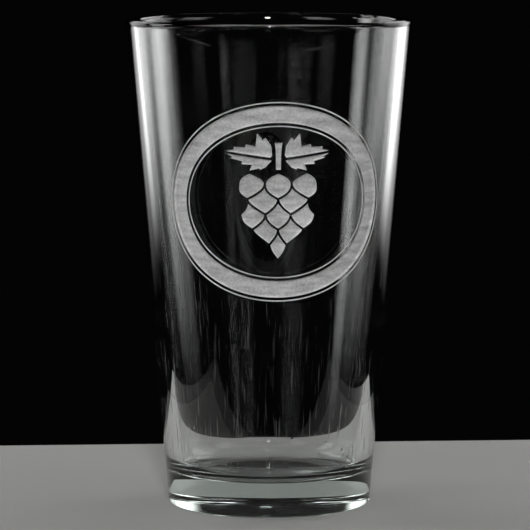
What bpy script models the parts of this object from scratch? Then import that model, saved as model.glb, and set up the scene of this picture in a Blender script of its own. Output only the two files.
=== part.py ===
"""A straight-sided pint glass with a sand-carved hop emblem.

Units are metres and +Z is up. The glass stands on z = 0 with its axis on Z,
and the emblem faces -Y. The glass itself is one turned solid with carved
recesses in its outer wall. The frosted floor of each recess is a thin skin in
a node of its own, so that it can have its own finish.
"""

import math

import bmesh
import bpy
from mathutils import Vector

# Outside of the glass.
HEIGHT = 0.1495
RIM_RADIUS = 0.0440
FOOT_RADIUS = 0.0311          # where the straight outer wall would meet z = 0
HEEL_RADIUS = 0.0012          # rounding between the outer wall and the base
BEARING_INNER_RADIUS = 0.0245
PUNT_DEPTH = 0.0010           # hollow under the base, inside the bearing ring

# Inside of the glass.
RIM_WALL = 0.0030
FOOT_WALL = 0.0052
SHAM = 0.0100                 # solid base, from z = 0 to the edge of the floor
FLOOR_DISH = 0.0008           # how much lower the floor is at the axis
FLOOR_CORNER_RADIUS = 0.0060

# Rounded rim.
BEAD_RADIUS = 0.00165
BEAD_PROUD = 0.0001           # how far the bead stands out of the outer wall
BEAD_BLEND = 0.0030           # length of wall that runs into the bead

# Carving. Depths are below the outer surface, and the skins are the frosted floors.
CARVE_DEPTH = 0.0009
CUTTER_PROUD = 0.0010
SKIN_TOP_DEPTH = 0.0002
SKIN_BOTTOM_DEPTH = 0.0006
CLEARANCE = 0.0003            # between a skin and the sides of its recess
RIDGE = 0.0007                # clear glass left between neighbouring recesses
EMBLEM_HEIGHT = 0.0967        # z of the emblem's centre
SLICE = 0.0050                # widest flat strip of a plate that follows the wall

# Oval ring round the emblem.
RING_WIDTH = 0.0690
RING_HEIGHT = 0.0578
RING_BAND = 0.0051

# Hop cone: rows of bracts, set out in a lattice that narrows towards the tip.
CONE_WIDTH = 0.0260
CONE_LENGTH = 0.0276
CONE_TOP = 0.0101             # above the emblem's centre
CONE_WAVE = 0.07              # how much the rows of two are widened, and the rows of three narrowed
CONE_ROWS = (3, 2, 3, 2, 1)
BRACT_WIDTH = 1.0 / 3.0       # as a share of the cone's width
BRACT_DROP = 1.0 / (len(CONE_ROWS) + 1)   # half a bract, as a share of the length
CROWN_RISE = 0.75             # height of a top bract's upper half, as a share of BRACT_DROP

# Stem.
STEM_BOTTOM = 0.0094
STEM_TOP = 0.0182
STEM_BASE_WIDTH = 0.0022
STEM_TIP_WIDTH = 0.0032

# Right leaf, with three pointed lobes and small teeth: each point is an angle
# from the midrib and a reach in millimetres from the leaf's base.
LEAF_BASE = Vector((0.0023, 0.0130))
LEAF_HEADING = math.radians(8)
LEAF_LOWER = (
    (-150, 0.9), (-72, 3.2), (-56, 5.0), (-50, 4.8), (-38, 8.0), (-27, 6.4),
    (-20, 9.4), (-14.5, 9.0), (-8, 12.8), (-5.5, 12.2), (0, 15.6),
)
LEAF_UPPER = (
    (0, 15.6), (7, 11.8), (11, 12.2), (18, 8.8), (24, 9.0), (33, 6.4),
    (55, 9.6), (61, 6.6), (70, 7.0), (88, 4.0), (125, 1.2),
)

# Fineness of the mesh.
TURN_STEPS = 72
RING_STEPS = 56
CURVE_STEPS = 5
MERGE = 1e-6

OUTER_SLOPE = (RIM_RADIUS - BEAD_PROUD - FOOT_RADIUS) / HEIGHT
OUTER_TILT = math.atan(OUTER_SLOPE)
FOOT_BORE_RADIUS = FOOT_RADIUS + OUTER_SLOPE * SHAM - FOOT_WALL
RIM_BORE_RADIUS = RIM_RADIUS - RIM_WALL
INNER_SLOPE = (RIM_BORE_RADIUS - FOOT_BORE_RADIUS) / (HEIGHT - SHAM)
INNER_TILT = math.atan(INNER_SLOPE)


def clear_scene():
    for item in list(bpy.data.objects):
        bpy.data.objects.remove(item, do_unlink=True)


def new_collection(name):
    collection = bpy.data.collections.new(name)
    bpy.context.scene.collection.children.link(collection)
    return collection


def glass_material(name, colour, roughness):
    material = bpy.data.materials.new(name)
    material.use_nodes = True
    shader = material.node_tree.nodes["Principled BSDF"]
    shader.inputs["Base Color"].default_value = (*colour, 1.0)
    shader.inputs["Roughness"].default_value = roughness
    shader.inputs["Metallic"].default_value = 0.0
    shader.inputs["Transmission Weight"].default_value = 1.0
    shader.inputs["IOR"].default_value = 1.52
    return material


def evaluated_mesh(item):
    depsgraph = bpy.context.evaluated_depsgraph_get()
    return bpy.data.meshes.new_from_object(item.evaluated_get(depsgraph))


# ---- turned glass ----

def outer_radius(z):
    return FOOT_RADIUS + OUTER_SLOPE * z


def inner_radius(z):
    return FOOT_BORE_RADIUS + INNER_SLOPE * (z - SHAM)


def arc(centre_r, centre_z, radius, start, end, steps):
    """Points of an arc in the (r, z) half-plane, with angles in radians."""
    angles = [start + (end - start) * i / steps for i in range(steps + 1)]
    return [(centre_r + radius * math.cos(a), centre_z + radius * math.sin(a)) for a in angles]


def swell(radius, steps, rise):
    """A shallow dome or dish: rise at the axis, level with zero at the radius."""
    stations = [radius * i / steps for i in range(steps + 1)]
    return [(r, rise * 0.5 * (1.0 + math.cos(math.pi * r / radius))) for r in stations]


def glass_profile():
    """The section from the floor's centre, up the bore, over the rim and down the outside."""
    corner_z = SHAM + FLOOR_CORNER_RADIUS
    corner_r = inner_radius(corner_z) - FLOOR_CORNER_RADIUS / math.cos(INNER_TILT)
    floor = [(r, SHAM - dish) for r, dish in swell(corner_r, CURVE_STEPS, FLOOR_DISH)]
    corner = arc(corner_r, corner_z, FLOOR_CORNER_RADIUS, -math.pi / 2, -INNER_TILT, CURVE_STEPS)

    bead_r = RIM_RADIUS - BEAD_RADIUS
    bead_z = HEIGHT - BEAD_RADIUS
    blend_z = bead_z - BEAD_BLEND
    bead = arc(bead_r, bead_z, BEAD_RADIUS, math.radians(210), math.radians(-30), 2 * CURVE_STEPS)

    heel_r = outer_radius(HEEL_RADIUS) - HEEL_RADIUS / math.cos(OUTER_TILT)
    heel = arc(heel_r, HEEL_RADIUS, HEEL_RADIUS, -OUTER_TILT, -math.pi / 2, 3)
    punt = swell(BEARING_INNER_RADIUS, CURVE_STEPS, PUNT_DEPTH)

    profile = floor + corner[1:]
    profile.append((inner_radius(blend_z), blend_z))
    profile += bead
    profile.append((outer_radius(blend_z), blend_z))
    profile += heel
    profile += reversed(punt)
    return profile


def turned_mesh(name, profile):
    """Turn an (r, z) profile round Z with a Screw modifier, and return the plain mesh."""
    outline = bpy.data.meshes.new(name + "_profile")
    points = [(r, 0.0, z) for r, z in profile]
    outline.from_pydata(points, [(i, i + 1) for i in range(len(points) - 1)], [])
    turner = bpy.data.objects.new(name + "_turner", outline)
    bpy.context.scene.collection.objects.link(turner)
    screw = turner.modifiers.new("turn", "SCREW")
    screw.axis = "Z"
    screw.steps = TURN_STEPS
    screw.render_steps = TURN_STEPS
    screw.use_merge_vertices = True
    screw.merge_threshold = MERGE
    mesh = evaluated_mesh(turner)
    bpy.data.objects.remove(turner, do_unlink=True)
    mesh.name = name
    return mesh


# ---- flat outlines of the emblem, anticlockwise, in metres from its centre ----

def crossing(line, other):
    """Where two lines, each a point and a direction, cross."""
    point, direction = line
    other_point, other_direction = other
    turn = direction.cross(other_direction)
    if abs(turn) < 1e-12:
        return other_point
    return point + direction * ((other_point - point).cross(other_direction) / turn)


def inset(outline, distance):
    """The outline moved inwards. Edges that the move uses up are dropped."""
    lines = []
    for start, end in zip(outline, outline[1:] + outline[:1]):
        direction = (end - start).normalized()
        lines.append((start + Vector((-direction.y, direction.x)) * distance, direction))
    while True:
        corners = [crossing(lines[i - 1], lines[i]) for i in range(len(lines))]
        ends = corners[1:] + corners[:1]
        kept = [line for line, a, b in zip(lines, corners, ends) if (b - a).dot(line[1]) > MERGE]
        if len(kept) == len(lines):
            return corners
        lines = kept


def ring_outline():
    turns = [math.tau * i / RING_STEPS for i in range(RING_STEPS)]
    return [Vector((RING_WIDTH / 2 * math.cos(a), RING_HEIGHT / 2 * math.sin(a))) for a in turns]


def cone_point(across, down):
    """A point of the hop cone, from its place across (-0.5 to 0.5) and down (0 to 1)."""
    width = CONE_WIDTH * math.sin(math.pi * (0.36 + 0.52 * down)) ** 0.85
    width *= 1.0 + CONE_WAVE * math.cos(math.pi * down / BRACT_DROP)
    return Vector((across * width, CONE_TOP - down * CONE_LENGTH))


def bract_outline(across, down, is_top):
    """A pointed scale. Its lower edges bulge, and its upper ones fit the two scales above."""
    half = BRACT_WIDTH / 2
    rising = [i / CURVE_STEPS for i in range(CURVE_STEPS)]
    falling = [1.0 - q for q in rising]
    places = [(across - half * (1 - q * q), down + BRACT_DROP * q) for q in rising]
    places += [(across + half * (1 - q * q), down + BRACT_DROP * q) for q in falling]
    if is_top:
        crown = BRACT_DROP * CROWN_RISE
        places += [(across + half * (1 - q * q), down - crown * q) for q in rising]
        places += [(across - half * (1 - q * q), down - crown * q) for q in falling]
    else:
        places += [(across + half * q * q, down - BRACT_DROP * (1 - q)) for q in falling]
        places += [(across - half * q * q, down - BRACT_DROP * (1 - q)) for q in rising]
    return [cone_point(*place) for place in places]


def bract_outlines():
    """Every bract by name, row by row from the top and left to right in a row."""
    outlines = {}
    for row, count in enumerate(CONE_ROWS, start=1):
        for place in range(count):
            across = (place - (count - 1) / 2) * BRACT_WIDTH
            name = f"bract_row{row}_{'abc'[place]}"
            outlines[name] = bract_outline(across, row * BRACT_DROP, row == 1)
    return outlines


def stem_outline():
    right = []
    left = []
    for i in range(CURVE_STEPS + 1):
        t = i / CURVE_STEPS
        half = 0.5 * (STEM_BASE_WIDTH + (STEM_TIP_WIDTH - STEM_BASE_WIDTH) * t ** 4)
        height = STEM_BOTTOM + (STEM_TOP - STEM_BOTTOM) * t
        right.append(Vector((half, height)))
        left.append(Vector((-half, height)))
    return right + left[::-1]


def leaf_half_outline(places):
    """Half of the right leaf: its base, then the given points round its edge."""
    outline = [LEAF_BASE.copy()]
    for degrees, reach in places:
        angle = LEAF_HEADING + math.radians(degrees)
        outline.append(LEAF_BASE + Vector((math.cos(angle), math.sin(angle))) * reach * 0.001)
    return outline


def mirrored(outline):
    return [Vector((-point.x, point.y)) for point in reversed(outline)]


def motif_outlines():
    """The outlines of every island inside the ring, by name."""
    outlines = {"stem": stem_outline()}
    for level, places in (("upper", LEAF_UPPER), ("lower", LEAF_LOWER)):
        half = leaf_half_outline(places)
        outlines["leaf_right_" + level] = half
        outlines["leaf_left_" + level] = mirrored(half)
    outlines.update(bract_outlines())
    return outlines


# ---- plates that follow the wall ----

def on_wall(across, up, out):
    """The point of the outer wall at an emblem position, moved out along the wall's normal."""
    z = EMBLEM_HEIGHT + up * math.cos(OUTER_TILT)
    angle = across / outer_radius(z)
    radius = outer_radius(z) + out * math.cos(OUTER_TILT)
    return Vector((radius * math.sin(angle), -radius * math.cos(angle), z - out * math.sin(OUTER_TILT)))


def flat_plate(name, outlines, thickness):
    """A flat plate in the XY plane from one outline, or from an outline and its hole."""
    curve = bpy.data.curves.new(name, "CURVE")
    curve.dimensions = "2D"
    curve.fill_mode = "BOTH"
    curve.extrude = thickness / 2
    for outline in outlines:
        spline = curve.splines.new("POLY")
        spline.points.add(len(outline) - 1)
        for point, place in zip(spline.points, outline):
            point.co = (place.x, place.y, 0.0, 1.0)
        spline.use_cyclic_u = True
    item = bpy.data.objects.new(name, curve)
    bpy.context.scene.collection.objects.link(item)
    mesh = evaluated_mesh(item)
    bpy.data.objects.remove(item, do_unlink=True)
    bpy.data.curves.remove(curve)
    return mesh


def wall_plate(name, outlines, top_depth, bottom_depth, collection):
    """A plate bent onto the outer wall, between two depths below its surface."""
    mesh = flat_plate(name, outlines, bottom_depth - top_depth)
    bm = bmesh.new()
    bm.from_mesh(mesh)
    bmesh.ops.remove_doubles(bm, verts=bm.verts, dist=MERGE)
    reach = max(abs(vert.co.x) for vert in bm.verts)
    slices = math.floor(reach / SLICE)
    for i in range(-slices, slices + 1):
        geometry = bm.verts[:] + bm.edges[:] + bm.faces[:]
        cut = Vector((i * SLICE, 0.0, 0.0))
        bmesh.ops.bisect_plane(bm, geom=geometry, dist=MERGE, plane_co=cut, plane_no=(1.0, 0.0, 0.0))
    bmesh.ops.triangulate(bm, faces=bm.faces[:])
    middle = (top_depth + bottom_depth) / 2
    for vert in bm.verts:
        vert.co = on_wall(vert.co.x, vert.co.y, vert.co.z - middle)
    if bm.calc_volume(signed=True) < 0.0:
        bmesh.ops.reverse_faces(bm, faces=bm.faces[:])
    bm.to_mesh(mesh)
    bm.free()
    item = bpy.data.objects.new(name, mesh)
    collection.objects.link(item)
    return item


def add_island(name, recess, skin, cutters, parts, finish):
    """One carved recess: its cutter, and the frosted skin on its floor."""
    cutter = wall_plate("cut_" + name, recess, -CUTTER_PROUD, CARVE_DEPTH, cutters)
    cutter.hide_render = True
    cutter.display_type = "WIRE"
    floor = wall_plate("frosted_" + name, skin, SKIN_TOP_DEPTH, SKIN_BOTTOM_DEPTH, parts)
    floor.data.materials.append(finish)


def add_emblem(cutters, parts, finish):
    ring = ring_outline()
    recess = [ring, inset(ring, RING_BAND)]
    skin = [inset(ring, CLEARANCE), inset(ring, RING_BAND - CLEARANCE)]
    add_island("ring", recess, skin, cutters, parts, finish)
    for name, outline in motif_outlines().items():
        recess = [inset(outline, RIDGE / 2)]
        skin = [inset(outline, RIDGE / 2 + CLEARANCE)]
        add_island(name, recess, skin, cutters, parts, finish)


def add_glass(cutters, parts, finish):
    mesh = turned_mesh("glass_body", glass_profile())
    mesh.shade_smooth()
    mesh.set_sharp_from_angle(angle=math.radians(35))
    mesh.materials.append(finish)
    glass = bpy.data.objects.new("glass_body", mesh)
    parts.objects.link(glass)
    carving = glass.modifiers.new("carving", "BOOLEAN")
    carving.operation = "DIFFERENCE"
    carving.operand_type = "COLLECTION"
    carving.collection = cutters
    carving.solver = "EXACT"


def main():
    clear_scene()
    parts = new_collection("pint_glass")
    cutters = new_collection("pint_glass_cutters")
    clear = glass_material("clear_glass", (0.95, 0.98, 0.96), 0.02)
    frosted = glass_material("frosted_glass", (0.86, 0.87, 0.87), 0.65)
    add_emblem(cutters, parts, frosted)
    add_glass(cutters, parts, clear)


main()
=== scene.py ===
from collections import namedtuple
import math

import bpy
import numpy as np
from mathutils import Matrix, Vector
from mathutils.geometry import delaunay_2d_cdt


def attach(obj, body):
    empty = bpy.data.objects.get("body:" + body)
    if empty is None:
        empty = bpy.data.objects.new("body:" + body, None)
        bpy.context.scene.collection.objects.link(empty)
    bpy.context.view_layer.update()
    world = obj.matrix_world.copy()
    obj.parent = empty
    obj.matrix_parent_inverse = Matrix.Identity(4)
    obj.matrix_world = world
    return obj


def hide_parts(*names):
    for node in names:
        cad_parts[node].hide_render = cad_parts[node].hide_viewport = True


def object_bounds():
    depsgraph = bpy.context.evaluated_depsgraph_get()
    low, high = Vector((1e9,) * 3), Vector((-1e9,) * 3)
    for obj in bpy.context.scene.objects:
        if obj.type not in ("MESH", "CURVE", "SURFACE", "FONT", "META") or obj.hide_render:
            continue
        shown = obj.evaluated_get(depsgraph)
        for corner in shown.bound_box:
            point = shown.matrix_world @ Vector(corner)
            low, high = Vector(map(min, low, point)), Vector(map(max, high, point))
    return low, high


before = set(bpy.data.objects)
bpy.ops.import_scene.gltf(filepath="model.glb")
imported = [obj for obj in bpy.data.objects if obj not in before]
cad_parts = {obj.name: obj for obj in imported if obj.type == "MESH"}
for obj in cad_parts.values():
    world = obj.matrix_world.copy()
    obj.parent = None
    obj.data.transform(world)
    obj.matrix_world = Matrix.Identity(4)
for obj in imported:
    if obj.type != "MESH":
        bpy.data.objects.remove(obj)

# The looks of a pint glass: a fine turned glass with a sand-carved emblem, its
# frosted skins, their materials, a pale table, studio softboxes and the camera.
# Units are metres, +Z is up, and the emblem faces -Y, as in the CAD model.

cad_low, cad_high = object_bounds()

# Turned glass. The rim and the height come from the CAD box.
HEIGHT = cad_high.z
RIM_RADIUS = (cad_high.x - cad_low.x) / 2
FOOT_RADIUS = 0.0311          # where the straight outer wall would meet z = 0
HEEL_RADIUS = 0.0012          # rounding between the outer wall and the foot
BEARING_INNER_RADIUS = 0.0245 # the foot stands on the flat ring outside this
PUNT_DEPTH = 0.0010           # hollow under the foot
RIM_WALL = 0.0030             # level thickness of the wall at the rim
FOOT_WALL = 0.0052            # and beside the edge of the floor
SHAM = 0.0100                 # solid base, from z = 0 to the edge of the floor
FLOOR_DISH = 0.0008           # how far the floor's middle lies below its edge
FLOOR_CORNER_RADIUS = 0.0060
INNER_LIP_RADIUS = 0.0019     # the rim's edge towards the bore
OUTER_LIP_RADIUS = 0.0009     # and its tighter outer edge
LIP_PROUD = 0.0001            # how far the rim stands out of the outer wall
LIP_BLEND = 0.0014            # length of wall that runs into the rim
LIP_END = math.radians(-10)   # where the round edge meets that stretch

OUTER_SLOPE = (RIM_RADIUS - LIP_PROUD - FOOT_RADIUS) / HEIGHT
OUTER_TILT = math.atan(OUTER_SLOPE)
FOOT_BORE_RADIUS = FOOT_RADIUS + OUTER_SLOPE * SHAM - FOOT_WALL
INNER_SLOPE = (RIM_RADIUS - RIM_WALL - FOOT_BORE_RADIUS) / (HEIGHT - SHAM)
INNER_TILT = math.atan(INNER_SLOPE)

# Steps round the axis, and along each stretch of the section.
TURN_STEPS = 384
FLOOR_STEPS = 16
CORNER_STEPS = 14
BORE_STEPS = 20
INNER_LIP_STEPS = 18
OUTER_LIP_STEPS = 14
BLEND_STEPS = 8
WALL_TOP_STEPS = 4
WALL_MIDDLE_STEPS = 22
WALL_BOTTOM_STEPS = 12
HEEL_STEPS = 8
BEARING_STEPS = 3
PUNT_STEPS = 14

# Emblem, in metres from its centre along the wall.
EMBLEM_HEIGHT = 0.0967        # z of the emblem's centre
RING_WIDTH = 0.0690
RING_HEIGHT = 0.0578
RING_BAND = 0.0051
RING_STEPS = 240
RIDGE = 0.0007                # clear glass between neighbouring recesses
HAIRLINE_GAP = 0.0008         # between the ring and the fine lines beside it
HAIRLINE_WIDTH = 0.0004
WINDOW_MARGIN = 0.002         # wall round the emblem that is triangulated with it

# Hop cone: rows of scales, in shares of the cone's width and length.
CONE_WIDTH = 0.0260
CONE_LENGTH = 0.0276
CONE_TOP = 0.0101
CONE_TURN_TOP = 0.36          # its width is a power of a sine, from this share of
CONE_TURN_SPAN = 0.52         # a half turn at the top, over this much more
CONE_POWER = 0.85
CONE_WAVE = 0.07              # how much the outline swells at each row
CONE_ROWS = (3, 2, 3, 2, 1)
BRACT_WIDTH = 1.0 / 3.0
BRACT_DROP = 1.0 / (len(CONE_ROWS) + 1)
CROWN_RISE = 0.75             # height of the top row's crown, in bract drops
STEM_BOTTOM = 0.0094
STEM_TOP = 0.0182
STEM_BASE_WIDTH = 0.0022
STEM_TIP_WIDTH = 0.0032
STEM_FLARE = 4                # power by which the stem widens towards its tip
CURVE_STEPS = 12

# Half leaves: degrees from the leaf's heading, and millimetres from its base.
LEAF_BASE = Vector((0.0023, 0.0130))
LEAF_HEADING = math.radians(8)
LEAF_LOWER = (
    (-150, 0.9), (-72, 3.2), (-56, 5.0), (-50, 4.8), (-38, 8.0), (-27, 6.4),
    (-20, 9.4), (-14.5, 9.0), (-8, 12.8), (-5.5, 12.2), (0, 15.6),
)
LEAF_UPPER = (
    (0, 15.6), (7, 11.8), (11, 12.2), (18, 8.8), (24, 9.0), (33, 6.4),
    (55, 9.6), (61, 6.6), (70, 7.0), (88, 4.0), (125, 1.2),
)

# Carving: the recess in the glass, and the frosted skin that lines it. A cut is
# its depth, the width of its sloping side, and its skin's thickness.
Cut = namedtuple("Cut", "depth edge thickness")
DEEP_CUT = Cut(0.00075, 0.00045, 0.00012)
FINE_CUT = Cut(0.00014, 0.00016, 0.00004)
CARVE_POWER = 1.2             # how softly the sloping side leaves the wall
SKIN_GAP = 0.00002
SKIN_EDGE_SHARE = 0.25        # a skin's thickness at its edge, as a share of the full one
GRAIN = 0.000012              # height of the sand-blasted grain
RANDOM_SEED = 7

# Triangulation of the emblem. A terrace is a line of points along a sloping side.
GRID = 0.0011                 # spacing of free points on the clear wall
GRID_CLEARANCE = GRID / 3     # and how far they stay from every outline
FINE_GRID = 0.00042           # the same on a frosted floor
FINE_CLEARANCE = FINE_GRID * 0.45
EDGE_STEP = 0.0006            # spacing of points along an outline
GLASS_TERRACES = (0.33, 0.66, 1.0)
SKIN_TERRACES = (0.25, 0.5, 0.75, 1.0)
SHARP_ANGLE = math.radians(60)

# Units and tolerances.
MILLIMETRE = 0.001
MM_PER_METRE = 1000.0
PARALLEL = 1e-9               # cross product below which two directions are one
USED_UP = 1e-6                # an edge shorter than this is dropped by an inset
LEVEL_SLACK = 1e-6            # slack when heights are compared
SHORTEST_SQUARED = 1e-18
MERGE_MM = 1e-7               # points closer than this are one point
FACES_OUT = 0.5               # least outward part of an outside station's normal


# ---- section of the turned glass: (r, z, outward normal r, outward normal z) ----

def outer_radius(z):
    return FOOT_RADIUS + OUTER_SLOPE * z


def inner_radius(z):
    return FOOT_BORE_RADIUS + INNER_SLOPE * (z - SHAM)


def station(r, z, dr, dz):
    """A point of the section, with its normal from the direction of travel."""
    length = math.hypot(dr, dz)
    return (r, z, -dz / length, dr / length)


def straight(start, end, steps):
    dr = end[0] - start[0]
    dz = end[1] - start[1]
    stations = []
    for i in range(steps + 1):
        stations.append(station(start[0] + dr * i / steps, start[1] + dz * i / steps, dr, dz))
    return stations


def arc(centre, radius, start, end, steps):
    """An arc between two angles in radians, travelled clockwise or anticlockwise."""
    sense = math.copysign(1.0, end - start)
    stations = []
    for i in range(steps + 1):
        a = start + (end - start) * i / steps
        place = (centre[0] + radius * math.cos(a), centre[1] + radius * math.sin(a))
        stations.append(station(*place, -sense * math.sin(a), sense * math.cos(a)))
    return stations


def blend(start, end, steps):
    """A cubic between two stations that keeps the direction of travel of both."""
    reach = math.hypot(end[0] - start[0], end[1] - start[1])
    leave = (start[3] * reach, -start[2] * reach)
    arrive = (end[3] * reach, -end[2] * reach)
    stations = []
    for i in range(steps + 1):
        t = i / steps
        weights = (2 * t**3 - 3 * t**2 + 1, t**3 - 2 * t**2 + t, 3 * t**2 - 2 * t**3, t**3 - t**2)
        slopes = (6 * t**2 - 6 * t, 3 * t**2 - 4 * t + 1, 6 * t - 6 * t**2, 3 * t**2 - 2 * t)
        rows = list(zip(start[:2], leave, end[:2], arrive))
        place = [sum(w * p for w, p in zip(weights, row)) for row in rows]
        way = [sum(s * p for s, p in zip(slopes, row)) for row in rows]
        stations.append(station(*place, *way))
    return stations


def swell(radius, base, rise, inwards, steps):
    """A dome or dish that is level at the axis and at its edge."""
    stations = []
    for i in range(steps + 1):
        r = radius * (1 - i / steps if inwards else i / steps)
        z = base + rise * 0.5 * (1.0 + math.cos(math.pi * r / radius))
        slope = -rise * 0.5 * math.pi / radius * math.sin(math.pi * r / radius)
        way = -1.0 if inwards else 1.0
        stations.append(station(r, z, way, way * slope))
    return stations


def joined(*runs):
    """Runs of stations end to end. Each run starts where the one before it ends."""
    stations = list(runs[0])
    for run in runs[1:]:
        stations += run[1:]
    return stations


def glass_section(window_low, window_high):
    """From the floor's centre, up the bore, over the rim, down the outside, under the foot."""
    corner_z = SHAM + FLOOR_CORNER_RADIUS
    corner_r = inner_radius(corner_z) - FLOOR_CORNER_RADIUS / math.cos(INNER_TILT)
    floor = swell(corner_r, SHAM, -FLOOR_DISH, False, FLOOR_STEPS)
    corner = arc((corner_r, corner_z), FLOOR_CORNER_RADIUS, -math.pi / 2, -INNER_TILT,
                 CORNER_STEPS)

    inner_z = HEIGHT - INNER_LIP_RADIUS
    inner_r = inner_radius(inner_z) + INNER_LIP_RADIUS / math.cos(INNER_TILT)
    inner_lip = arc((inner_r, inner_z), INNER_LIP_RADIUS, math.pi - INNER_TILT, math.pi / 2,
                    INNER_LIP_STEPS)
    outer_centre = (RIM_RADIUS - OUTER_LIP_RADIUS, HEIGHT - OUTER_LIP_RADIUS)
    outer_lip = arc(outer_centre, OUTER_LIP_RADIUS, math.pi / 2, LIP_END, OUTER_LIP_STEPS)
    rim = joined(inner_lip, straight(inner_lip[-1], outer_lip[0], 1), outer_lip)
    bore = straight(corner[-1], rim[0], BORE_STEPS)

    blend_z = HEIGHT - OUTER_LIP_RADIUS - LIP_BLEND
    high = (outer_radius(window_high), window_high)
    low = (outer_radius(window_low), window_low)
    wall_top = straight((outer_radius(blend_z), blend_z), high, WALL_TOP_STEPS)
    rim_to_wall = blend(rim[-1], wall_top[0], BLEND_STEPS)
    wall_middle = straight(wall_top[-1], low, WALL_MIDDLE_STEPS)
    heel_r = outer_radius(HEEL_RADIUS) - HEEL_RADIUS / math.cos(OUTER_TILT)
    heel = arc((heel_r, HEEL_RADIUS), HEEL_RADIUS, -OUTER_TILT, -math.pi / 2, HEEL_STEPS)
    wall_bottom = straight(wall_middle[-1], heel[0], WALL_BOTTOM_STEPS)
    bearing = straight(heel[-1], (BEARING_INNER_RADIUS, 0.0), BEARING_STEPS)
    punt = swell(BEARING_INNER_RADIUS, 0.0, PUNT_DEPTH, True, PUNT_STEPS)
    return joined(floor, corner, bore, rim, rim_to_wall, wall_top, wall_middle, wall_bottom,
                  heel, bearing, punt)


# ---- flat outlines of the emblem, anticlockwise ----

def crossing(line, other):
    """Where two lines, each a point and a direction, cross."""
    point, direction = line
    other_point, other_direction = other
    turn = direction.cross(other_direction)
    if abs(turn) < PARALLEL:
        return other_point
    return point + direction * ((other_point - point).cross(other_direction) / turn)


def inset(outline, distance):
    """The outline moved inwards. Edges that the move uses up are dropped."""
    lines = []
    for start, end in zip(outline, outline[1:] + outline[:1]):
        direction = (end - start).normalized()
        lines.append((start + Vector((-direction.y, direction.x)) * distance, direction))
    while True:
        corners = [crossing(lines[i - 1], lines[i]) for i in range(len(lines))]
        ends = corners[1:] + corners[:1]
        kept = [line for line, a, b in zip(lines, corners, ends) if (b - a).dot(line[1]) > USED_UP]
        if len(kept) == len(lines):
            return corners
        lines = kept


def oval(width, height):
    turns = [math.tau * i / RING_STEPS for i in range(RING_STEPS)]
    return [Vector((width / 2 * math.cos(a), height / 2 * math.sin(a))) for a in turns]


def cone_point(across, down):
    """A point of the hop cone, from its place across (-0.5 to 0.5) and down (0 to 1)."""
    turn = math.pi * (CONE_TURN_TOP + CONE_TURN_SPAN * down)
    width = CONE_WIDTH * math.sin(turn) ** CONE_POWER
    width *= 1.0 + CONE_WAVE * math.cos(math.pi * down / BRACT_DROP)
    return Vector((across * width, CONE_TOP - down * CONE_LENGTH))


def bract_outline(across, down, is_top):
    """A pointed scale. Its lower edges bulge, and its upper ones fit the two scales above."""
    half = BRACT_WIDTH / 2
    rising = [i / CURVE_STEPS for i in range(CURVE_STEPS)]
    falling = [1.0 - q for q in rising]
    places = [(across - half * (1 - q * q), down + BRACT_DROP * q) for q in rising]
    places += [(across + half * (1 - q * q), down + BRACT_DROP * q) for q in falling]
    if is_top:
        crown = BRACT_DROP * CROWN_RISE
        places += [(across + half * (1 - q * q), down - crown * q) for q in rising]
        places += [(across - half * (1 - q * q), down - crown * q) for q in falling]
    else:
        places += [(across + half * q * q, down - BRACT_DROP * (1 - q)) for q in falling]
        places += [(across - half * q * q, down - BRACT_DROP * (1 - q)) for q in rising]
    return [cone_point(*place) for place in places]


def bract_outlines():
    outlines = {}
    for row, count in enumerate(CONE_ROWS, start=1):
        for place in range(count):
            across = (place - (count - 1) / 2) * BRACT_WIDTH
            name = f"bract_row{row}_{'abc'[place]}"
            outlines[name] = bract_outline(across, row * BRACT_DROP, row == 1)
    return outlines


def stem_outline():
    right = []
    left = []
    for i in range(CURVE_STEPS + 1):
        t = i / CURVE_STEPS
        half = 0.5 * (STEM_BASE_WIDTH + (STEM_TIP_WIDTH - STEM_BASE_WIDTH) * t ** STEM_FLARE)
        height = STEM_BOTTOM + (STEM_TOP - STEM_BOTTOM) * t
        right.append(Vector((half, height)))
        left.append(Vector((-half, height)))
    return right + left[::-1]


def leaf_half_outline(places):
    outline = [LEAF_BASE.copy()]
    for degrees, reach in places:
        angle = LEAF_HEADING + math.radians(degrees)
        way = Vector((math.cos(angle), math.sin(angle)))
        outline.append(LEAF_BASE + way * reach * MILLIMETRE)
    return outline


def mirrored(outline):
    return [Vector((-point.x, point.y)) for point in reversed(outline)]


def carved_islands():
    """Every carved island by name, with its cut: one outline, or an outline and its hole."""
    ring = oval(RING_WIDTH, RING_HEIGHT)
    islands = {"ring": ([ring, inset(ring, RING_BAND)], DEEP_CUT)}
    shapes = {"stem": stem_outline()}
    for level, places in (("upper", LEAF_UPPER), ("lower", LEAF_LOWER)):
        half = leaf_half_outline(places)
        shapes["leaf_right_" + level] = half
        shapes["leaf_left_" + level] = mirrored(half)
    shapes.update(bract_outlines())
    for name, outline in shapes.items():
        islands[name] = ([inset(outline, RIDGE / 2)], DEEP_CUT)
    hairlines = {
        "line_outside": -HAIRLINE_GAP - HAIRLINE_WIDTH,
        "line_inside": RING_BAND + HAIRLINE_GAP,
    }
    for name, distance in hairlines.items():
        loops = [inset(ring, distance), inset(ring, distance + HAIRLINE_WIDTH)]
        islands[name] = (loops, FINE_CUT)
    return islands


def shrunk(island, distance):
    """An island made smaller all round: its outline moves in, and its hole moves out."""
    return [inset(island[0], distance)] + [inset(hole, -distance) for hole in island[1:]]


# ---- triangulated patches in the flat emblem plane ----

def resampled(outline, spacing):
    """The outline as an array, with points added along its longer edges."""
    points = []
    for start, end in zip(outline, outline[1:] + outline[:1]):
        count = max(1, round((end - start).length / spacing))
        points += [start.lerp(end, i / count) for i in range(count)]
    return np.array([(p.x, p.y) for p in points])


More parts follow.
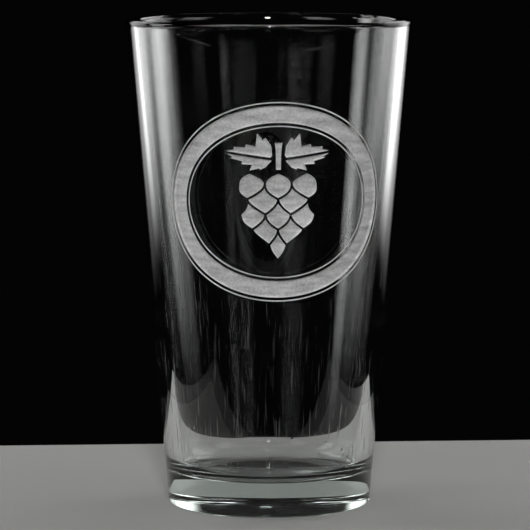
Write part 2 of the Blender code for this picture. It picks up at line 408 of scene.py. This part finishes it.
def inside(points, loops):
    """Even-odd test of every point against closed loops."""
    result = np.zeros(len(points), bool)
    for loop in loops:
        for (x0, y0), (x1, y1) in zip(loop, np.roll(loop, -1, axis=0)):
            if y0 == y1:
                continue
            spans = (points[:, 1] < y0) != (points[:, 1] < y1)
            at = x0 + (points[:, 1] - y0) * (x1 - x0) / (y1 - y0)
            result ^= spans & (points[:, 0] < at)
    return result


def distance_to(points, loops):
    """Distance from every point to the nearest edge of any loop."""
    nearest = np.full(len(points), 1.0)
    for loop in loops:
        for start, end in zip(loop, np.roll(loop, -1, axis=0)):
            way = end - start
            length_squared = max(way @ way, SHORTEST_SQUARED)
            along = np.clip(((points - start) @ way) / length_squared, 0.0, 1.0)
            gap = points - start - along[:, None] * way
            nearest = np.minimum(nearest, np.hypot(gap[:, 0], gap[:, 1]))
    return nearest


def lattice(low, high, spacing):
    """A triangular lattice of points over a rectangle."""
    rows = np.arange(low[1], high[1], spacing * math.sqrt(0.75))
    points = []
    for i, y in enumerate(rows):
        xs = np.arange(low[0] + (i % 2) * spacing / 2, high[0], spacing)
        points.append(np.column_stack([xs, np.full(len(xs), y)]))
    return np.concatenate(points)


def triangulate(loops, free_points):
    """Constrained triangulation: its points, its triangles, and each loop's point numbers."""
    stacked = np.concatenate(list(loops) + [free_points])
    edges = []
    spans = []
    start = 0
    for loop in loops:
        count = len(loop)
        edges += [(start + i, start + (i + 1) % count) for i in range(count)]
        spans.append(range(start, start + count))
        start += count
    flat = [Vector(p) for p in stacked * MM_PER_METRE]
    result = delaunay_2d_cdt(flat, edges, [], 1, MERGE_MM)
    points, _, triangles, sources = result[:4]
    moved_to = {source: i for i, group in enumerate(sources) for source in group}
    numbers = [[moved_to[i] for i in span] for span in spans]
    return np.array([tuple(p) for p in points]) / MM_PER_METRE, np.array(triangles), numbers


def carve_share(depth_in, edge):
    """How far down a recess is, from 0 to 1, at a distance inside its outline."""
    q = np.clip(depth_in / edge, 0.0, 1.0)
    return np.sin(q * math.pi / 2) ** CARVE_POWER


def on_wall(points, out):
    """Points of the emblem plane laid on the outer wall and moved out along its normal."""
    z = EMBLEM_HEIGHT + points[:, 1] * math.cos(OUTER_TILT)
    angle = points[:, 0] / outer_radius(z)
    radius = outer_radius(z) + out * math.cos(OUTER_TILT)
    level = z - out * math.sin(OUTER_TILT)
    return np.column_stack([radius * np.sin(angle), -radius * np.cos(angle), level])


def wall_normals(points):
    z = EMBLEM_HEIGHT + points[:, 1] * math.cos(OUTER_TILT)
    angle = points[:, 0] / outer_radius(z)
    out = math.cos(OUTER_TILT)
    up = np.full(len(points), -math.sin(OUTER_TILT))
    return np.column_stack([np.sin(angle) * out, -np.cos(angle) * out, up])


def emblem_plane(angle, z):
    return (angle * outer_radius(z), (z - EMBLEM_HEIGHT) / math.cos(OUTER_TILT))


# ---- meshes ----

def linked_object(name, data):
    item = bpy.data.objects.new(name, data)
    bpy.context.scene.collection.objects.link(item)
    return item


def compacted(count, faces):
    """The numbers of the vertices in use, and the faces renumbered to suit."""
    used = np.unique(np.concatenate([np.array(face) for face in faces]))
    renumber = np.full(count, -1)
    renumber[used] = np.arange(len(used))
    return used, [tuple(int(renumber[k]) for k in face) for face in faces]


def read_array(items, attribute):
    values = np.empty(len(items), int)
    items.foreach_get(attribute, values)
    return values


def mark_sharp_between(mesh, flag_of_loop):
    """Sharp edges where a flagged face meets one that isn't."""
    edge_of_loop = read_array(mesh.loops, "edge_index")
    with_flag = np.zeros(len(mesh.edges), bool)
    without_flag = np.zeros(len(mesh.edges), bool)
    with_flag[edge_of_loop[flag_of_loop]] = True
    without_flag[edge_of_loop[~flag_of_loop]] = True
    attribute = mesh.attributes.new("sharp_edge", "BOOLEAN", "EDGE")
    attribute.data.foreach_set("value", with_flag & without_flag)


def set_normals(mesh, normals, rough_faces):
    """Exact normals on the clear glass. A zero leaves Blender's own on the carved faces."""
    corner_counts = read_array(mesh.polygons, "loop_total")
    flag_of_loop = np.repeat(rough_faces, corner_counts)
    mark_sharp_between(mesh, flag_of_loop)
    loop_normals = normals[read_array(mesh.loops, "vertex_index")]
    loop_normals[flag_of_loop] = 0.0
    mesh.normals_split_custom_set(loop_normals.tolist())


# ---- glass body ----

def ring_number(ring, column):
    """The vertex in a column of a turned ring. Vertex 0 is the floor's centre."""
    return 1 + ring * TURN_STEPS + (column + TURN_STEPS // 2) % TURN_STEPS


def turned_vertices(section):
    """Places and normals. The first and last stations lie on the axis and are single points."""
    columns = range(-TURN_STEPS // 2, TURN_STEPS // 2)
    angles = np.array([math.tau * j / TURN_STEPS for j in columns])
    right = np.sin(angles)
    front = -np.cos(angles)
    places = [np.array([[0.0, 0.0, section[0][1]]])]
    normals = [np.array([[0.0, 0.0, 1.0]])]
    for r, z, nr, nz in section[1:-1]:
        places.append(np.column_stack([r * right, r * front, np.full(TURN_STEPS, z)]))
        normals.append(np.column_stack([nr * right, nr * front, np.full(TURN_STEPS, nz)]))
    places.append(np.array([[0.0, 0.0, section[-1][1]]]))
    normals.append(np.array([[0.0, 0.0, -1.0]]))
    return places, normals


def turned_faces(ring_count, window):
    """Faces of the turned glass, apart from those in the emblem's window."""
    top_ring, bottom_ring, half_columns = window
    last_ring = ring_count - 1
    end = 1 + ring_count * TURN_STEPS
    faces = []
    for j in range(-TURN_STEPS // 2, TURN_STEPS // 2):
        faces.append((0, ring_number(0, j), ring_number(0, j + 1)))
        faces.append((end, ring_number(last_ring, j + 1), ring_number(last_ring, j)))
        for i in range(last_ring):
            if top_ring <= i < bottom_ring and -half_columns <= j < half_columns:
                continue
            left = (ring_number(i, j), ring_number(i + 1, j))
            right = (ring_number(i + 1, j + 1), ring_number(i, j + 1))
            faces.append(left + right)
    return faces


def window_border(window):
    """Rings and columns round the window, anticlockwise as seen from outside."""
    top_ring, bottom_ring, half_columns = window
    border = [(bottom_ring, j) for j in range(-half_columns, half_columns)]
    border += [(i, half_columns) for i in range(bottom_ring, top_ring, -1)]
    border += [(top_ring, j) for j in range(half_columns, -half_columns, -1)]
    border += [(i, -half_columns) for i in range(top_ring, bottom_ring)]
    return border


def carved_patch(islands, border_points):
    """The wall in the window.

    Returns its points, their carved depth, its triangles, which of these lie in a
    recess, and the numbers of the border's points.
    """
    outlines = {}
    terraces = []
    for name, (island, cut) in islands.items():
        outlines[name] = [resampled(loop, EDGE_STEP) for loop in island]
        for share in GLASS_TERRACES:
            smaller = shrunk(island, share * cut.edge)
            terraces += [resampled(loop, EDGE_STEP) for loop in smaller]
    loops = [border_points] + [loop for pair in outlines.values() for loop in pair]
    outline_count = len(loops)
    loops += terraces
    free = lattice(border_points.min(0), border_points.max(0), GRID)
    free = free[inside(free, [border_points])]
    free = free[distance_to(free, loops) > GRID_CLEARANCE]
    points, triangles, numbers = triangulate(loops, free)

    middles = points[triangles].mean(axis=1)
    in_recess = np.zeros(len(triangles), bool)
    depth = np.zeros(len(points))
    for name, (_, cut) in islands.items():
        in_recess |= inside(middles, outlines[name])
        within = np.flatnonzero(inside(points, outlines[name]))
        depth_in = distance_to(points[within], outlines[name])
        depth[within] = cut.depth * carve_share(depth_in, cut.edge)
    for span in numbers[:outline_count]:
        depth[span] = 0.0
    return points, depth, triangles, in_recess, numbers[0]


def glass_body(islands):
    """The turned glass, with the emblem's window filled by the carved patch."""
    half_width = RING_WIDTH / 2 + HAIRLINE_GAP + HAIRLINE_WIDTH + WINDOW_MARGIN
    half_height = RING_HEIGHT / 2 + HAIRLINE_GAP + HAIRLINE_WIDTH + WINDOW_MARGIN
    half_columns = math.ceil(half_width / outer_radius(EMBLEM_HEIGHT) / math.tau * TURN_STEPS)
    window_low = EMBLEM_HEIGHT - half_height
    window_high = EMBLEM_HEIGHT + half_height
    section = glass_section(window_low, window_high)
    rings = section[1:-1]
    places, normals = turned_vertices(section)
    at_window = [i for i, (_, z, nr, _) in enumerate(rings)
                 if nr > FACES_OUT and window_low - LEVEL_SLACK < z < window_high + LEVEL_SLACK]
    window = (at_window[0], at_window[-1], half_columns)
    faces = turned_faces(len(rings), window)
    turned_count = len(faces)

    border = window_border(window)
    border_points = [emblem_plane(math.tau * j / TURN_STEPS, rings[i][1]) for i, j in border]
    patch = carved_patch(islands, np.array(border_points))
    points, depth, triangles, in_recess, border_numbers = patch
    start = sum(len(group) for group in places)
    number_of = list(range(start, start + len(points)))
    for (i, j), patch_number in zip(border, border_numbers):
        number_of[patch_number] = ring_number(i, j)
    faces += [tuple(number_of[k] for k in triangle) for triangle in triangles]
    places = np.concatenate(places + [on_wall(points, -depth)])
    normals = np.concatenate(normals + [wall_normals(points)])

    # The patch's own copies of the border points are unused, so they are taken out.
    used, faces = compacted(len(places), faces)
    mesh = bpy.data.meshes.new("glass_body_fine")
    mesh.from_pydata(places[used].tolist(), [], faces)
    mesh.shade_smooth()
    rough_faces = np.zeros(len(faces), bool)
    rough_faces[turned_count:] = in_recess
    set_normals(mesh, normals[used], rough_faces)
    return linked_object("glass_body_fine", mesh)


# ---- frosted skins ----

def side_faces(triangles, count):
    """Faces that close a top layer of triangles to a bottom layer, count vertices later."""
    edge_uses = {}
    for a, b, c in triangles:
        for edge_ends in ((a, b), (b, c), (c, a)):
            edge_uses[edge_ends] = True
    open_edges = [(int(a), int(b)) for a, b in edge_uses if (b, a) not in edge_uses]
    return [(b, a, a + count, b + count) for a, b in open_edges]


def skin(name, island, cut, random):
    """A thin closed lining of one recess, with a grainy outer side."""
    outlines = [resampled(loop, EDGE_STEP) for loop in island]
    loops = [resampled(loop, EDGE_STEP) for loop in shrunk(island, SKIN_GAP)]
    rims = loops[:]
    for share in SKIN_TERRACES:
        loops += [resampled(loop, EDGE_STEP) for loop in shrunk(island, share * cut.edge)]
    everything = np.concatenate(loops)
    free = lattice(everything.min(0), everything.max(0), FINE_GRID)
    free = free[inside(free, rims)]
    free = free[distance_to(free, loops) > FINE_CLEARANCE]
    points, triangles, _ = triangulate(loops, free)
    triangles = triangles[inside(points[triangles].mean(axis=1), rims)]

    depth_in = distance_to(points, outlines)
    flatness = np.clip(depth_in / cut.edge, 0.0, 1.0)
    bottom_depth = cut.depth * carve_share(depth_in, cut.edge) - SKIN_GAP * 0.5
    thickness_share = SKIN_EDGE_SHARE + (1.0 - SKIN_EDGE_SHARE) * flatness
    top_depth = bottom_depth - cut.thickness * thickness_share
    top_depth += GRAIN * random.standard_normal(len(points)) * flatness
    places = np.concatenate([on_wall(points, -top_depth), on_wall(points, -bottom_depth)])

    count = len(points)
    faces = [tuple(int(k) for k in triangle) for triangle in triangles]
    faces += [tuple(int(k) + count for k in triangle[::-1]) for triangle in triangles]
    faces += side_faces(triangles, count)
    used, faces = compacted(len(places), faces)
    mesh = bpy.data.meshes.new(name)
    mesh.from_pydata(places[used].tolist(), [], faces)
    mesh.shade_smooth()
    mesh.set_sharp_from_angle(angle=SHARP_ANGLE)
    # How steep the sloping side is; the frosting paints a highlight on the side from this.
    steepness = np.concatenate([1.0 - flatness, 1.0 - flatness])
    attribute = mesh.attributes.new("side_highlight_mask", "FLOAT", "POINT")
    attribute.data.foreach_set("value", steepness[used].astype(np.float32))
    return linked_object(name, mesh)


# ---- materials: lengths are in metres, and scales per metre unless noted ----

GLASS_IOR = 1.52
TINT = (0.62, 0.95, 0.80, 1.0)
TINT_DENSITY = 5.0
HAZE_SCALE = 90.0
HAZE_RANGE = (0.45, 0.75)     # noise values where the haze starts and is full
HAZE_ROUGHNESS = 0.03
WANDER_SCALE = 70.0
WANDER = 0.04                 # radians that a draw line wanders by
LINE_SCALE = 60.0             # per radian round the bore
LINE_STRETCH = 1.3            # radians that a metre of height counts as
LINE_CREST = (0.69, 0.80)     # noise value where a line starts, and where it is full
LINE_FADE = (0.085, 0.060)    # heights between which the lines set in
LINE_HEIGHT = 0.0001
LINE_STRENGTH = 0.25
SEED_SCALE = 260.0
SEED_EDGE = (0.14, 0.03)      # edge and full height of a seed, in cell sizes
SEED_FADE = (0.026, 0.018)    # heights between which the seeds set in
SEED_HEIGHT = 0.00008
SEED_STRENGTH = 1.0
MARK_ROUGHNESS = 0.25         # roughness that a draw line or seed adds
STREAK_ANGLE = math.radians(35)
STREAK_SCALE = (120.0, 120.0, 620.0)
GRAIN_SCALE = 1500.0
GRAIN_HEIGHT = 0.00005
GRAIN_STRENGTH = 0.5
FROST_TRANSMISSION = 0.15
STREAK_SHARE = 1.20           # weights of the streaks, the grain and the painted highlight on the sloping side in the frosting's tone
GRAIN_SHARE = 0.80            # side in the frosting's tone
SIDE_HIGHLIGHT_SHARE = 0.15
FROST_TONE = (0.60, 1.30, 0.45, 1.00)         # tone from and to, then colour from and to
FROST_ROUGHNESS = (0.0, 1.0, 0.50, 0.72)      # grain from and to, then roughness
TABLE_COLOUR = (0.42, 0.42, 0.41, 1.0)
TABLE_ROUGHNESS = 0.7


def new_material(name):
    material = bpy.data.materials.new(name)
    material.use_nodes = True
    tree = material.node_tree
    return material, tree, tree.nodes["Principled BSDF"]


def math_node(tree, operation, *values):
    node = tree.nodes.new("ShaderNodeMath")
    node.operation = operation
    for socket, value in zip(node.inputs, values):
        if isinstance(value, (int, float)):
            socket.default_value = value
        else:
            tree.links.new(value, socket)
    return node.outputs[0]


def product(tree, first, *others):
    result = first
    for other in others:
        result = math_node(tree, "MULTIPLY", result, other)
    return result


def ramp(tree, value, start, end, low=0.0, high=1.0, kind="LINEAR"):
    """Low up to start, high from end on, and a linear or smooth rise between them."""
    node = tree.nodes.new("ShaderNodeMapRange")
    node.interpolation_type = kind
    node.inputs["From Min"].default_value = start
    node.inputs["From Max"].default_value = end
    node.inputs["To Min"].default_value = low
    node.inputs["To Max"].default_value = high
    tree.links.new(value, node.inputs["Value"])
    return node.outputs[0]


def soft_ramp(tree, value, start, end):
    return ramp(tree, value, start, end, kind="SMOOTHSTEP")


def noise(tree, vector, scale, detail):
    node = tree.nodes.new("ShaderNodeTexNoise")
    node.inputs["Scale"].default_value = scale
    node.inputs["Detail"].default_value = detail
    tree.links.new(vector, node.inputs["Vector"])
    return node.outputs["Fac"]


def bumped(tree, height, strength, distance, normal=None):
    node = tree.nodes.new("ShaderNodeBump")
    node.inputs["Strength"].default_value = strength
    node.inputs["Distance"].default_value = distance
    tree.links.new(height, node.inputs["Height"])
    if normal is not None:
        tree.links.new(normal, node.inputs["Normal"])
    return node.outputs["Normal"]


def bore_mask(tree, x, y, z):
    """One on the bore and zero on the outside: which side of the wall's middle a point is."""
    squares = math_node(tree, "ADD", product(tree, x, x), product(tree, y, y))
    radius = math_node(tree, "SQRT", squares)
    slope = (OUTER_SLOPE + INNER_SLOPE) / 2
    foot = (outer_radius(0.0) + inner_radius(0.0)) / 2
    middle_of_wall = math_node(tree, "MULTIPLY_ADD", z, slope, foot)
    return math_node(tree, "LESS_THAN", radius, middle_of_wall)


def draw_lines(tree, place, turn, z):
    """Lines left by the plunger: tall and narrow, wandering a little, low on the glass."""
    shift = product(tree, noise(tree, place, WANDER_SCALE, detail=1.0), WANDER)
    space = tree.nodes.new("ShaderNodeCombineXYZ")
    tree.links.new(math_node(tree, "ADD", turn, shift), space.inputs["X"])
    tree.links.new(product(tree, z, LINE_STRETCH), space.inputs["Y"])
    ripple = noise(tree, space.outputs[0], LINE_SCALE, detail=0.0)
    return product(tree, soft_ramp(tree, ripple, *LINE_CREST), soft_ramp(tree, z, *LINE_FADE))


def seeds(tree, place, z):
    """A few tiny bubbles just above the floor's corner."""
    cells = tree.nodes.new("ShaderNodeTexVoronoi")
    cells.inputs["Scale"].default_value = SEED_SCALE
    tree.links.new(place, cells.inputs["Vector"])
    dome = soft_ramp(tree, cells.outputs["Distance"], *SEED_EDGE)
    return product(tree, dome, soft_ramp(tree, z, *SEED_FADE))


def clear_glass():
    material, tree, shader = new_material("clear_glass_look")
    shader.inputs["Base Color"].default_value = (1.0, 1.0, 1.0, 1.0)
    shader.inputs["Transmission Weight"].default_value = 1.0
    shader.inputs["IOR"].default_value = GLASS_IOR

    place = tree.nodes.new("ShaderNodeTexCoord").outputs["Object"]
    parts = tree.nodes.new("ShaderNodeSeparateXYZ")
    tree.links.new(place, parts.inputs[0])
    x, y, z = parts.outputs
    turn = math_node(tree, "ARCTAN2", x, y)

    on_bore = bore_mask(tree, x, y, z)
    lines = product(tree, draw_lines(tree, place, turn, z), on_bore)
    bubbles = product(tree, seeds(tree, place, z), on_bore)
    lined = bumped(tree, lines, LINE_STRENGTH, LINE_HEIGHT)
    normal = bumped(tree, bubbles, SEED_STRENGTH, SEED_HEIGHT, lined)
    tree.links.new(normal, shader.inputs["Normal"])

    # Handling haze: the polish varies faintly in soft patches.
    haze = noise(tree, place, HAZE_SCALE, detail=4.0)
    polish = ramp(tree, haze, *HAZE_RANGE, high=HAZE_ROUGHNESS)
    marks = product(tree, math_node(tree, "MAXIMUM", lines, bubbles), MARK_ROUGHNESS)
    tree.links.new(math_node(tree, "ADD", polish, marks), shader.inputs["Roughness"])

    tint = tree.nodes.new("ShaderNodeVolumeAbsorption")
    tint.inputs["Color"].default_value = TINT
    tint.inputs["Density"].default_value = TINT_DENSITY
    tree.links.new(tint.outputs[0], tree.nodes["Material Output"].inputs["Volume"])
    return material


def frosted_glass():
    material, tree, shader = new_material("frosted_glass_look")
    shader.inputs["Transmission Weight"].default_value = FROST_TRANSMISSION
    shader.inputs["IOR"].default_value = GLASS_IOR
    place = tree.nodes.new("ShaderNodeTexCoord").outputs["Object"]

    # Blasting leaves soft diagonal streaks and fine grain, and the sloping side gets a painted
    # highlight: it is made lighter by its steepness.
    streak_space = tree.nodes.new("ShaderNodeMapping")
    streak_space.inputs["Rotation"].default_value = (0.0, STREAK_ANGLE, 0.0)
    streak_space.inputs["Scale"].default_value = STREAK_SCALE
    tree.links.new(place, streak_space.inputs["Vector"])
    streaks = noise(tree, streak_space.outputs[0], 1.0, detail=3.0)
    grain = noise(tree, place, GRAIN_SCALE, detail=3.0)
    painted_side_highlight = tree.nodes.new("ShaderNodeAttribute")
    painted_side_highlight.attribute_name = "side_highlight_mask"

    streaky = product(tree, streaks, STREAK_SHARE)
    tone = math_node(tree, "ADD", streaky, product(tree, grain, GRAIN_SHARE))
    # Painted highlight: the sloping side is made lighter by a share of its steepness.
    total = math_node(tree, "ADD", tone, product(tree, painted_side_highlight.outputs["Fac"], SIDE_HIGHLIGHT_SHARE))
    shade = ramp(tree, total, *FROST_TONE)
    colour = tree.nodes.new("ShaderNodeCombineColor")
    for channel in ("Red", "Green", "Blue"):
        tree.links.new(shade, colour.inputs[channel])
    tree.links.new(colour.outputs[0], shader.inputs["Base Color"])
    tree.links.new(ramp(tree, grain, *FROST_ROUGHNESS), shader.inputs["Roughness"])
    tree.links.new(bumped(tree, grain, GRAIN_STRENGTH, GRAIN_HEIGHT), shader.inputs["Normal"])
    return material


def table_surface():
    material, _, shader = new_material("pale_table")
    shader.inputs["Base Color"].default_value = TABLE_COLOUR
    shader.inputs["Roughness"].default_value = TABLE_ROUGHNESS
    return material


# ---- stage, lights and camera ----

TABLE_BACK = 0.110            # from the axis to the table's back edge
TABLE_WIDTH = 0.30
TABLE_DEPTH = 0.195
TABLE_THICKNESS = 0.03

CAMERA_DISTANCE = 1.0754      # from the glass's axis, level
CAMERA_HEIGHT = 0.1947
CAMERA_AZIMUTH = math.radians(-3.9)
CAMERA_PITCH = math.radians(6.427)
CAMERA_YAW = math.radians(0.0686)
CAMERA_LENS = 238.4           # millimetres, as is the sensor
CAMERA_SENSOR = 36.0
CAMERA_NEAR = 0.01
CAMERA_FAR = 20.0

# Softboxes: name, azimuth of both sides in degrees, level distance, z of the foot and
# of the head, radiance, and the shares over which the sides and the foot fade out.
# Azimuth 0 is towards the camera, and positive to the right.
SOFTBOXES = (
    ("left_front_box", -91, -112, 0.42, -0.01, 0.44, 3.4, 0.30, 0.22),
    ("left_rear_box", -113, -150, 0.42, -0.01, 0.44, 1.7, 0.25, 0.22),
    ("right_front_box", 93, 124, 0.42, -0.01, 0.44, 1.3, 0.45, 0.22),
    ("right_rear_box", 112, 148, 0.42, -0.01, 0.44, 2.6, 0.40, 0.22),
    ("left_back_box", -147, -161, 0.80, 0.39, 0.75, 3.0, 0.30, 0.05),
    ("right_back_box", 147, 161, 0.80, 0.39, 0.75, 3.0, 0.30, 0.05),
    ("left_panel", -34, -66, 0.90, 0.29, 0.89, 1.6, 0.30, 0.15),
    ("right_panel", 50, 90, 0.90, 0.29, 0.89, 1.6, 0.30, 0.15),
)
FRONT_SOFTBOX = ("front_box", -5, 0, 1.21, 0.47, 0.78, 85.0, 0.10, 0.05)
FRONT_AIM = Vector((0.0, 0.0, 0.08))
STUDIO_GLOW = 0.0012


def table():
    bpy.ops.mesh.primitive_cube_add(size=1.0)
    item = bpy.context.object
    item.name = "table"
    item.scale = (TABLE_WIDTH, TABLE_DEPTH, TABLE_THICKNESS)
    item.location = (0.0, TABLE_BACK - TABLE_DEPTH / 2, -TABLE_THICKNESS / 2)
    item.data.materials.append(table_surface())


def softbox(name, from_azimuth, to_azimuth, distance, foot, head, radiance, side_fade, foot_fade):
    """An upright panel facing the glass, dimmer towards its sides and its foot."""
    width = 2 * distance * math.tan(math.radians(abs(to_azimuth - from_azimuth) / 2))
    light = bpy.data.lights.new(name, "AREA")
    light.shape = "RECTANGLE"
    light.size = width
    light.size_y = head - foot
    light.energy = radiance * math.pi * width * (head - foot)
    light.use_nodes = True
    tree = light.node_tree
    across = tree.nodes.new("ShaderNodeSeparateXYZ")
    panel = tree.nodes.new("ShaderNodeNewGeometry")
    tree.links.new(panel.outputs["Parametric"], across.inputs[0])
    fades = (("X", 0.0, side_fade), ("X", 1.0, 1.0 - side_fade), ("Y", 0.0, foot_fade))
    shares = [soft_ramp(tree, across.outputs[axis], start, end) for axis, start, end in fades]
    tree.links.new(product(tree, *shares), tree.nodes["Emission"].inputs["Strength"])

    item = linked_object(name, light)
    turn = math.radians((from_azimuth + to_azimuth) / 2)
    item.location = (distance * math.sin(turn), -distance * math.cos(turn), (foot + head) / 2)
    item.rotation_euler = (math.pi / 2, 0.0, turn)
    item.visible_camera = False
    return item


def lights():
    for settings in SOFTBOXES:
        softbox(*settings)
    front = softbox(*FRONT_SOFTBOX)
    front.rotation_euler = (front.location - FRONT_AIM).to_track_quat("Z", "Y").to_euler()
    world = bpy.data.worlds.new("studio")
    world.use_nodes = True
    background = world.node_tree.nodes["Background"]
    background.inputs["Color"].default_value = (STUDIO_GLOW, STUDIO_GLOW, STUDIO_GLOW, 1.0)
    bpy.context.scene.world = world


def camera():
    data = bpy.data.cameras.new("camera")
    data.lens = CAMERA_LENS
    data.sensor_width = CAMERA_SENSOR
    data.clip_start = CAMERA_NEAR
    data.clip_end = CAMERA_FAR
    item = linked_object("camera", data)
    right = CAMERA_DISTANCE * math.sin(CAMERA_AZIMUTH)
    front = -CAMERA_DISTANCE * math.cos(CAMERA_AZIMUTH)
    item.location = (right, front, CAMERA_HEIGHT)
    item.rotation_euler = (math.pi / 2 - CAMERA_PITCH, 0.0, CAMERA_AZIMUTH + CAMERA_YAW)
    bpy.context.scene.camera = item


def main():
    islands = carved_islands()
    glass = glass_body(islands)
    glass.data.materials.append(clear_glass())
    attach(glass, "root")
    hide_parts("glass_body")
    finish = frosted_glass()
    random = np.random.default_rng(RANDOM_SEED)
    for name, (island, cut) in islands.items():
        lining = skin("skin_" + name, island, cut, random)
        lining.data.materials.append(finish)
        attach(lining, "root")
        if "frosted_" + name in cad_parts:
            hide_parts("frosted_" + name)
    table()
    lights()
    camera()
    bpy.context.scene.view_settings.view_transform = "Standard"


main()
